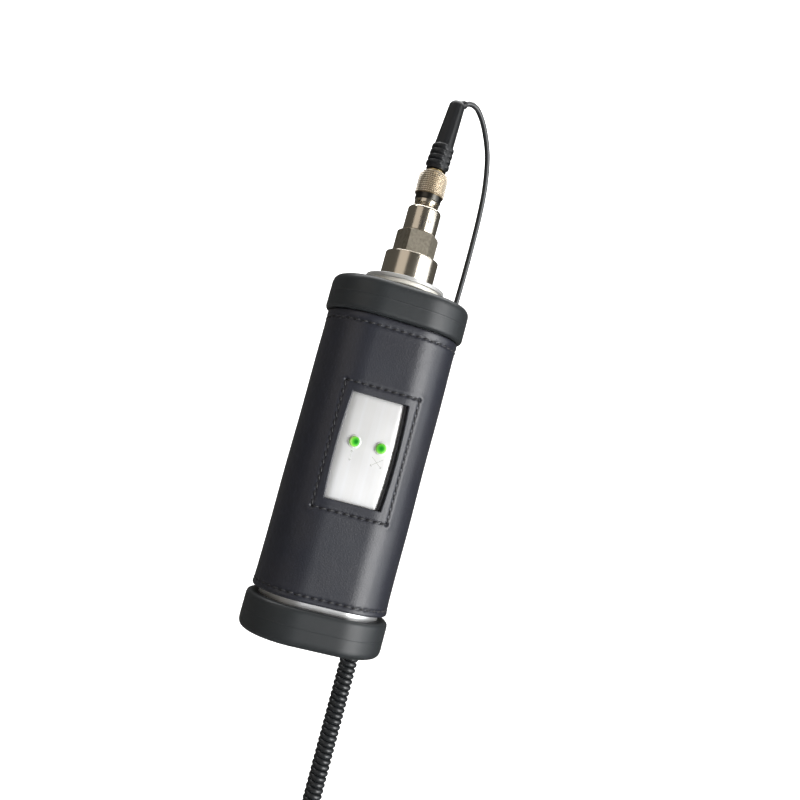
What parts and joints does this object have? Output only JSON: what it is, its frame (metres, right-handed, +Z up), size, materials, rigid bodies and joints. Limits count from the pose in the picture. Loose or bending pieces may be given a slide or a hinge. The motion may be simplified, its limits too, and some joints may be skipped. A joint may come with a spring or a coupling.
{
  "type": "vibration calibrator",
  "caption": "Hand-held oval vibration calibrator in a stitched leather sleeve with rubber end bumpers, a vibrating table, a magnet-mounted sensor, its screw-on plug and a curly lead.",
  "frame": {"origin": "the middle of the body's grip, on the long axis, half-way between the outer faces of the two bumpers; a hand holds it there", "axes": "+Z up along the body towards the vibrating table, -Y out of the front with the window and the lamps, +X to the right seen from the front"},
  "size_m": [0.0674, 0.06, 0.4513],
  "materials": {
    "leather": "fine-grained black leather, satin",
    "lining": "thin split-leather lining, matt",
    "bumper_rubber": "moulded, satin",
    "boot_rubber": "moulded, matt",
    "cable_jacket": "smooth, semi-gloss",
    "body_aluminium": "anodised, satin",
    "disc_aluminium": "turned and anodised, matt",
    "nickel": "nickel plated, polished",
    "knurled_nickel": "nickel plated, knurled",
    "dull_steel": "machined, dull",
    "yoke_steel": "machined",
    "screw_steel": "stainless, pan head",
    "magnet": "plated magnet",
    "contact_brass": "turned, plated",
    "coil_winding": "enamelled copper winding",
    "black_plastic": "moulded, fine texture",
    "former_plastic": "moulded",
    "board": "solder resist",
    "cell_wrap": "shrink sleeve",
    "green_lens": "tinted clear epoxy, glossy"
  },
  "bodies": {
    "housing": {"housing_tube": "body_aluminium", "top_end_plate": "body_aluminium", "bottom_end_plate": "body_aluminium", "top_bumper": "bumper_rubber", "bottom_bumper": "bumper_rubber", "leather_sleeve": "leather", "sleeve_lining": "lining", "rear_seam_strip": "leather", "left_lamp_lens": "green_lens", "right_lamp_lens": "green_lens", "left_lamp_bezel": "body_aluminium", "right_lamp_bezel": "body_aluminium", "circuit_board": "board", "control_chip": "black_plastic", "left_battery_cell": "cell_wrap", "right_battery_cell": "cell_wrap", "battery_cradle": "black_plastic", "actuator_yoke": "yoke_steel", "drive_magnet": "magnet", "pole_piece": "yoke_steel", "spring_frame": "body_aluminium", "upper_flexure": "yoke_steel", "lower_flexure": "yoke_steel", "dust_seal": "bumper_rubber", "top_plate_screw_1": "screw_steel", "top_plate_screw_2": "screw_steel", "top_plate_screw_3": "screw_steel", "top_plate_screw_4": "screw_steel", "bottom_plate_screw_1": "screw_steel", "bottom_plate_screw_2": "screw_steel", "bottom_plate_screw_3": "screw_steel", "bottom_plate_screw_4": "screw_steel", "charging_socket": "black_plastic", "button_guide": "body_aluminium", "button_switch": "black_plastic"},
    "power_button": {"power_button": "black_plastic"},
    "vibrating_table": {"table_disc": "disc_aluminium", "drive_shaft": "body_aluminium", "coil_former": "former_plastic", "voice_coil": "coil_winding", "reference_sensor": "nickel", "magnet_shell": "nickel", "holding_magnet": "magnet", "mounting_stud": "dull_steel", "sensor_hex_base": "dull_steel", "sensor_housing": "nickel", "connector_jack": "contact_brass", "plug_core": "contact_brass", "cable_boot": "boot_rubber", "cable_lead": "cable_jacket", "cable_coil": "cable_jacket", "cable_tail": "cable_jacket", "far_boot": "boot_rubber", "far_plug_core": "contact_brass"},
    "coupling_nut": {"coupling_nut": "knurled_nickel"},
    "far_coupling_nut": {"far_coupling_nut": "knurled_nickel"}
  },
  "joints": [
    {"name": "table_vibration", "type": "slide", "parent": "housing", "child": "vibrating_table", "axis": [0, 0, 1], "range_m": [-0.001, 0.001], "stiffness_N_per_m": 7000, "springref_m": 0.00028},
    {"name": "power_button_press", "type": "slide", "parent": "housing", "child": "power_button", "axis": [0, 0, 1], "range_m": [0, 0.001], "stiffness_N_per_m": 800, "springref_m": -0.0008},
    {"name": "coupling_nut_turn", "type": "hinge", "parent": "vibrating_table", "child": "coupling_nut", "pos_m": [0, 0, 0.1377], "axis": [0, 0, 1], "continuous": true},
    {"name": "far_nut_turn", "type": "hinge", "parent": "vibrating_table", "child": "far_coupling_nut", "pos_m": [0.0263, 0.0276, -0.2557], "axis": [0, 0, 1], "continuous": true}
  ]
}
